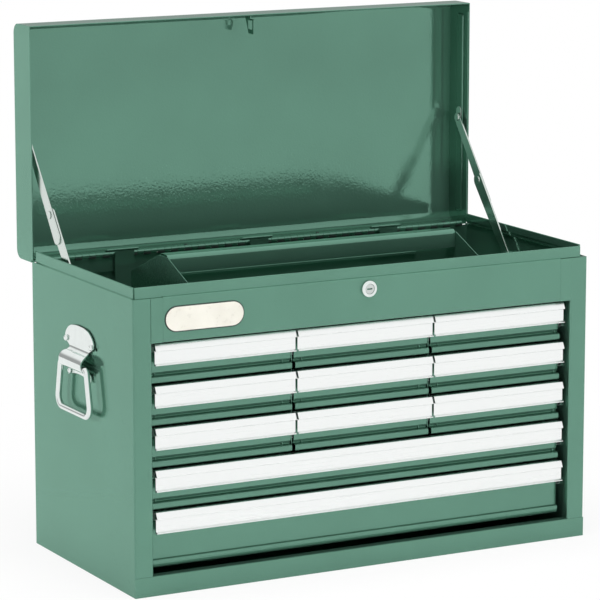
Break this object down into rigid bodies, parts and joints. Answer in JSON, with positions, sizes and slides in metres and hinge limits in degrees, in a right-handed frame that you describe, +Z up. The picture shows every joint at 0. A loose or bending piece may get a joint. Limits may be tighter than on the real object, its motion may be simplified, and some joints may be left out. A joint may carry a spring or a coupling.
{
  "type": "machinist tool chest",
  "caption": "Bench-top steel tool chest with a hinged lid on folding stays, banks of sliding drawers with full-width pulls, a lift-out tray and side handles.",
  "frame": {"origin": "centre of the cabinet's base, on the bench", "axes": "+X to the right along the front, +Y to the back, +Z up"},
  "size_m": [0.6942, 0.3605, 0.6855],
  "materials": {
    "cabinet_paint": "gloss green enamel",
    "inner_paint": "gloss green enamel",
    "drawer_paint": "gloss green enamel",
    "pull_aluminium": "bright satin",
    "slide_zinc": "zinc plated",
    "zinc": "zinc plated",
    "hinge_steel": "drawn wire",
    "chrome": "bright chrome",
    "lock_steel": "bright chrome"
  },
  "bodies": {
    "root": {"side_panel_left": "cabinet_paint", "side_panel_right": "cabinet_paint", "back_panel": "inner_paint", "bottom_pan": "cabinet_paint", "front_header": "cabinet_paint", "till_floor": "inner_paint", "slide_partitions": "inner_paint", "slide_channels": "slide_zinc", "hinge_leaf_cabinet": "inner_paint", "hinge_pin": "hinge_steel", "lock_body": "chrome", "handle_plates": "chrome", "handle_screws": "chrome"},
    "lid": {"lid_shell": "cabinet_paint", "lid_catch": "inner_paint", "hinge_leaf_lid": "inner_paint", "stay_brackets": "zinc"},
    "lock_bars": {"lock_bars": "inner_paint"},
    "lock_plug": {"lock_plug": "lock_steel"},
    "stay_lower_left": {"stay_lower_left": "zinc"},
    "stay_upper_left": {"stay_upper_left": "zinc"},
    "stay_lower_right": {"stay_lower_right": "zinc"},
    "stay_upper_right": {"stay_upper_right": "zinc"},
    "bail_left": {"bail_left": "chrome"},
    "bail_right": {"bail_right": "chrome"},
    "tray": {"tray_pan": "inner_paint", "tray_handle": "inner_paint"},
    "drawer_top_left": {"drawer_top_left_box": "drawer_paint", "drawer_top_left_pull": "pull_aluminium", "drawer_top_left_runners": "slide_zinc"},
    "drawer_top_centre": {"drawer_top_centre_box": "drawer_paint", "drawer_top_centre_pull": "pull_aluminium", "drawer_top_centre_runners": "slide_zinc"},
    "drawer_top_right": {"drawer_top_right_box": "drawer_paint", "drawer_top_right_pull": "pull_aluminium", "drawer_top_right_runners": "slide_zinc"},
    "drawer_second_left": {"drawer_second_left_box": "drawer_paint", "drawer_second_left_pull": "pull_aluminium", "drawer_second_left_runners": "slide_zinc"},
    "drawer_second_centre": {"drawer_second_centre_box": "drawer_paint", "drawer_second_centre_pull": "pull_aluminium", "drawer_second_centre_runners": "slide_zinc"},
    "drawer_second_right": {"drawer_second_right_box": "drawer_paint", "drawer_second_right_pull": "pull_aluminium", "drawer_second_right_runners": "slide_zinc"},
    "drawer_third_left": {"drawer_third_left_box": "drawer_paint", "drawer_third_left_pull": "pull_aluminium", "drawer_third_left_runners": "slide_zinc"},
    "drawer_third_centre": {"drawer_third_centre_box": "drawer_paint", "drawer_third_centre_pull": "pull_aluminium", "drawer_third_centre_runners": "slide_zinc"},
    "drawer_third_right": {"drawer_third_right_box": "drawer_paint", "drawer_third_right_pull": "pull_aluminium", "drawer_third_right_runners": "slide_zinc"},
    "drawer_fourth": {"drawer_fourth_box": "drawer_paint", "drawer_fourth_pull": "pull_aluminium", "drawer_fourth_runners": "slide_zinc"},
    "drawer_bottom": {"drawer_bottom_box": "drawer_paint", "drawer_bottom_pull": "pull_aluminium", "drawer_bottom_runners": "slide_zinc"}
  },
  "joints": [
    {"name": "lid_hinge", "type": "hinge", "parent": "root", "child": "lid", "pos_m": [0, 0.1515, 0.3795], "axis": [-1, 0, 0], "range_deg": [-90, 0]},
    {"name": "stay_foot_left", "type": "hinge", "parent": "root", "child": "stay_lower_left", "pos_m": [-0.3215, 0.032, 0.352], "axis": [1, 0, 0], "range_deg": [0, 123.95]},
    {"name": "stay_knuckle_left", "type": "hinge", "parent": "stay_lower_left", "child": "stay_upper_left", "pos_m": [-0.3215, 0.1086, 0.4454], "axis": [1, 0, 0], "range_deg": [-156.65, 0]},
    {"name": "stay_foot_right", "type": "hinge", "parent": "root", "child": "stay_lower_right", "pos_m": [0.3215, 0.032, 0.352], "axis": [1, 0, 0], "range_deg": [0, 123.95]},
    {"name": "stay_knuckle_right", "type": "hinge", "parent": "stay_lower_right", "child": "stay_upper_right", "pos_m": [0.3215, 0.1086, 0.4454], "axis": [1, 0, 0], "range_deg": [-156.65, 0]},
    {"name": "lock_bars_slide", "type": "slide", "parent": "root", "child": "lock_bars", "axis": [0, 0, 1], "range_m": [-0.00605, 0]},
    {"name": "lock_turn", "type": "hinge", "parent": "root", "child": "lock_plug", "pos_m": [0, -0.1545, 0.364], "axis": [0, 1, 0], "range_deg": [0, 90]},
    {"name": "bail_swing_left", "type": "hinge", "parent": "root", "child": "bail_left", "pos_m": [-0.341, 0, 0.27], "axis": [0, 1, 0], "range_deg": [0, 90]},
    {"name": "bail_swing_right", "type": "hinge", "parent": "root", "child": "bail_right", "pos_m": [0.341, 0, 0.27], "axis": [0, -1, 0], "range_deg": [0, 90]},
    {"name": "tray_lift", "type": "slide", "parent": "root", "child": "tray", "axis": [0, 0, 1], "range_m": [0, 0.15]},
    {"name": "drawer_top_left_slide", "type": "slide", "parent": "root", "child": "drawer_top_left", "axis": [0, -1, 0], "range_m": [0, 0.2]},
    {"name": "drawer_top_centre_slide", "type": "slide", "parent": "root", "child": "drawer_top_centre", "axis": [0, -1, 0], "range_m": [0, 0.2]},
    {"name": "drawer_top_right_slide", "type": "slide", "parent": "root", "child": "drawer_top_right", "axis": [0, -1, 0], "range_m": [0, 0.2]},
    {"name": "drawer_second_left_slide", "type": "slide", "parent": "root", "child": "drawer_second_left", "axis": [0, -1, 0], "range_m": [0, 0.2]},
    {"name": "drawer_second_centre_slide", "type": "slide", "parent": "root", "child": "drawer_second_centre", "axis": [0, -1, 0], "range_m": [0, 0.2]},
    {"name": "drawer_second_right_slide", "type": "slide", "parent": "root", "child": "drawer_second_right", "axis": [0, -1, 0], "range_m": [0, 0.2]},
    {"name": "drawer_third_left_slide", "type": "slide", "parent": "root", "child": "drawer_third_left", "axis": [0, -1, 0], "range_m": [0, 0.2]},
    {"name": "drawer_third_centre_slide", "type": "slide", "parent": "root", "child": "drawer_third_centre", "axis": [0, -1, 0], "range_m": [0, 0.2]},
    {"name": "drawer_third_right_slide", "type": "slide", "parent": "root", "child": "drawer_third_right", "axis": [0, -1, 0], "range_m": [0, 0.2]},
    {"name": "drawer_fourth_slide", "type": "slide", "parent": "root", "child": "drawer_fourth", "axis": [0, -1, 0], "range_m": [0, 0.2]},
    {"name": "drawer_bottom_slide", "type": "slide", "parent": "root", "child": "drawer_bottom", "axis": [0, -1, 0], "range_m": [0, 0.2]}
  ],
  "couplings": [
    {"joint": "stay_foot_left", "follows": "lid_hinge", "ratio": -1.377},
    {"joint": "stay_knuckle_left", "follows": "lid_hinge", "ratio": 1.7404},
    {"joint": "stay_foot_right", "follows": "lid_hinge", "ratio": -1.377},
    {"joint": "stay_knuckle_right", "follows": "lid_hinge", "ratio": 1.7404},
    {"joint": "lock_bars_slide", "follows": "lid_hinge", "m_per_rad": 0.0038197}
  ]
}
